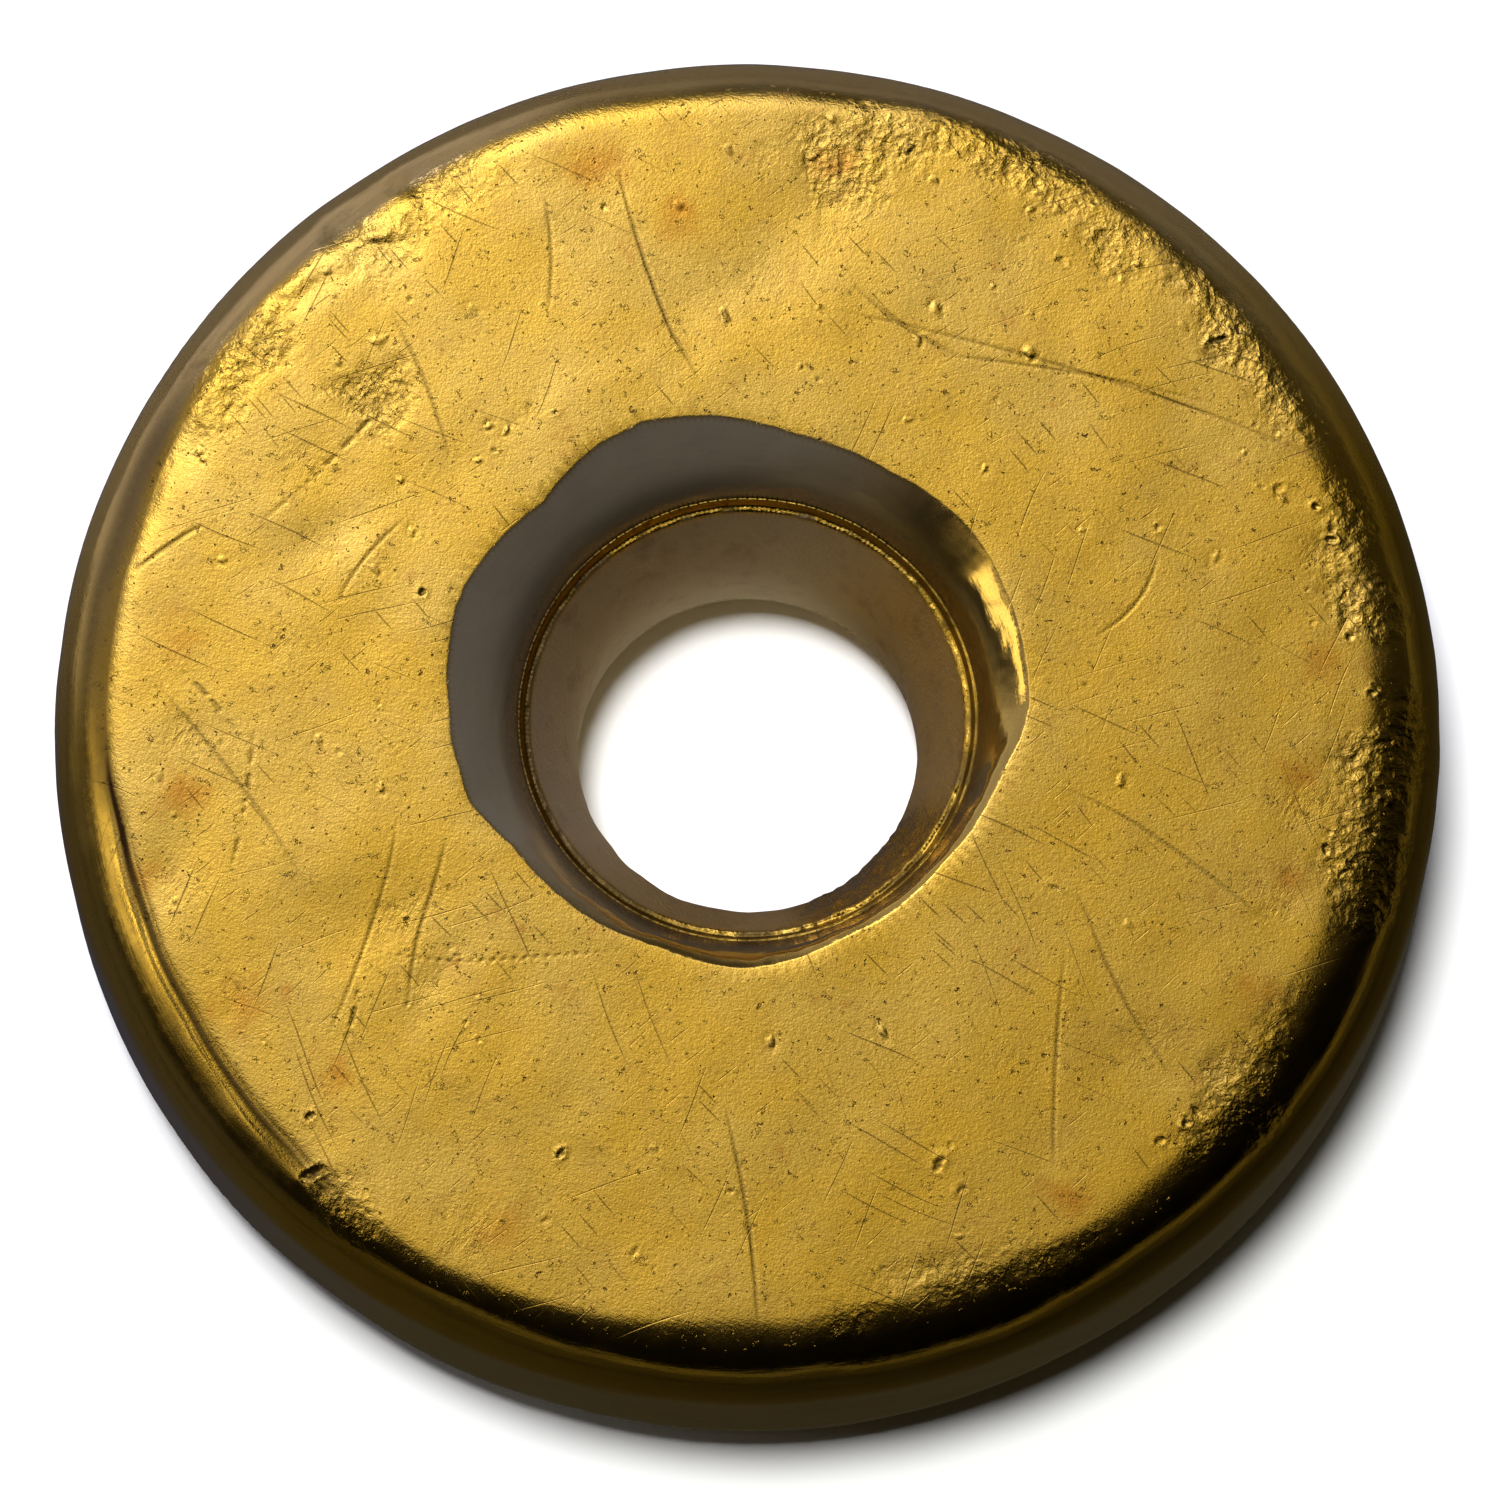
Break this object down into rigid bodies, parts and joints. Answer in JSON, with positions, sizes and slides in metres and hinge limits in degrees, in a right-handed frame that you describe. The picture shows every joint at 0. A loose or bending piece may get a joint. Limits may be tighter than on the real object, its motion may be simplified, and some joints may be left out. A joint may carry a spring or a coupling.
{
  "type": "pierced metal token",
  "caption": "Thick plain disc of yellow metal with a rounded rim and a flared central hole, used as a fare token or strung on a cord.",
  "frame": {"origin": "centre of the underside, on the axis of the hole", "axes": "+Z along the hole's axis, from the underside to the top face, which has the wider mouth; X and Y lie in the disc's plane"},
  "size_m": [0.024, 0.024, 0.0048],
  "materials": {
    "yellow_metal": "polished and worn, with hairline scratches, pits and dark tarnish"
  },
  "bodies": {
    "root": {"token_disc": "yellow_metal"}
  },
  "joints": []
}
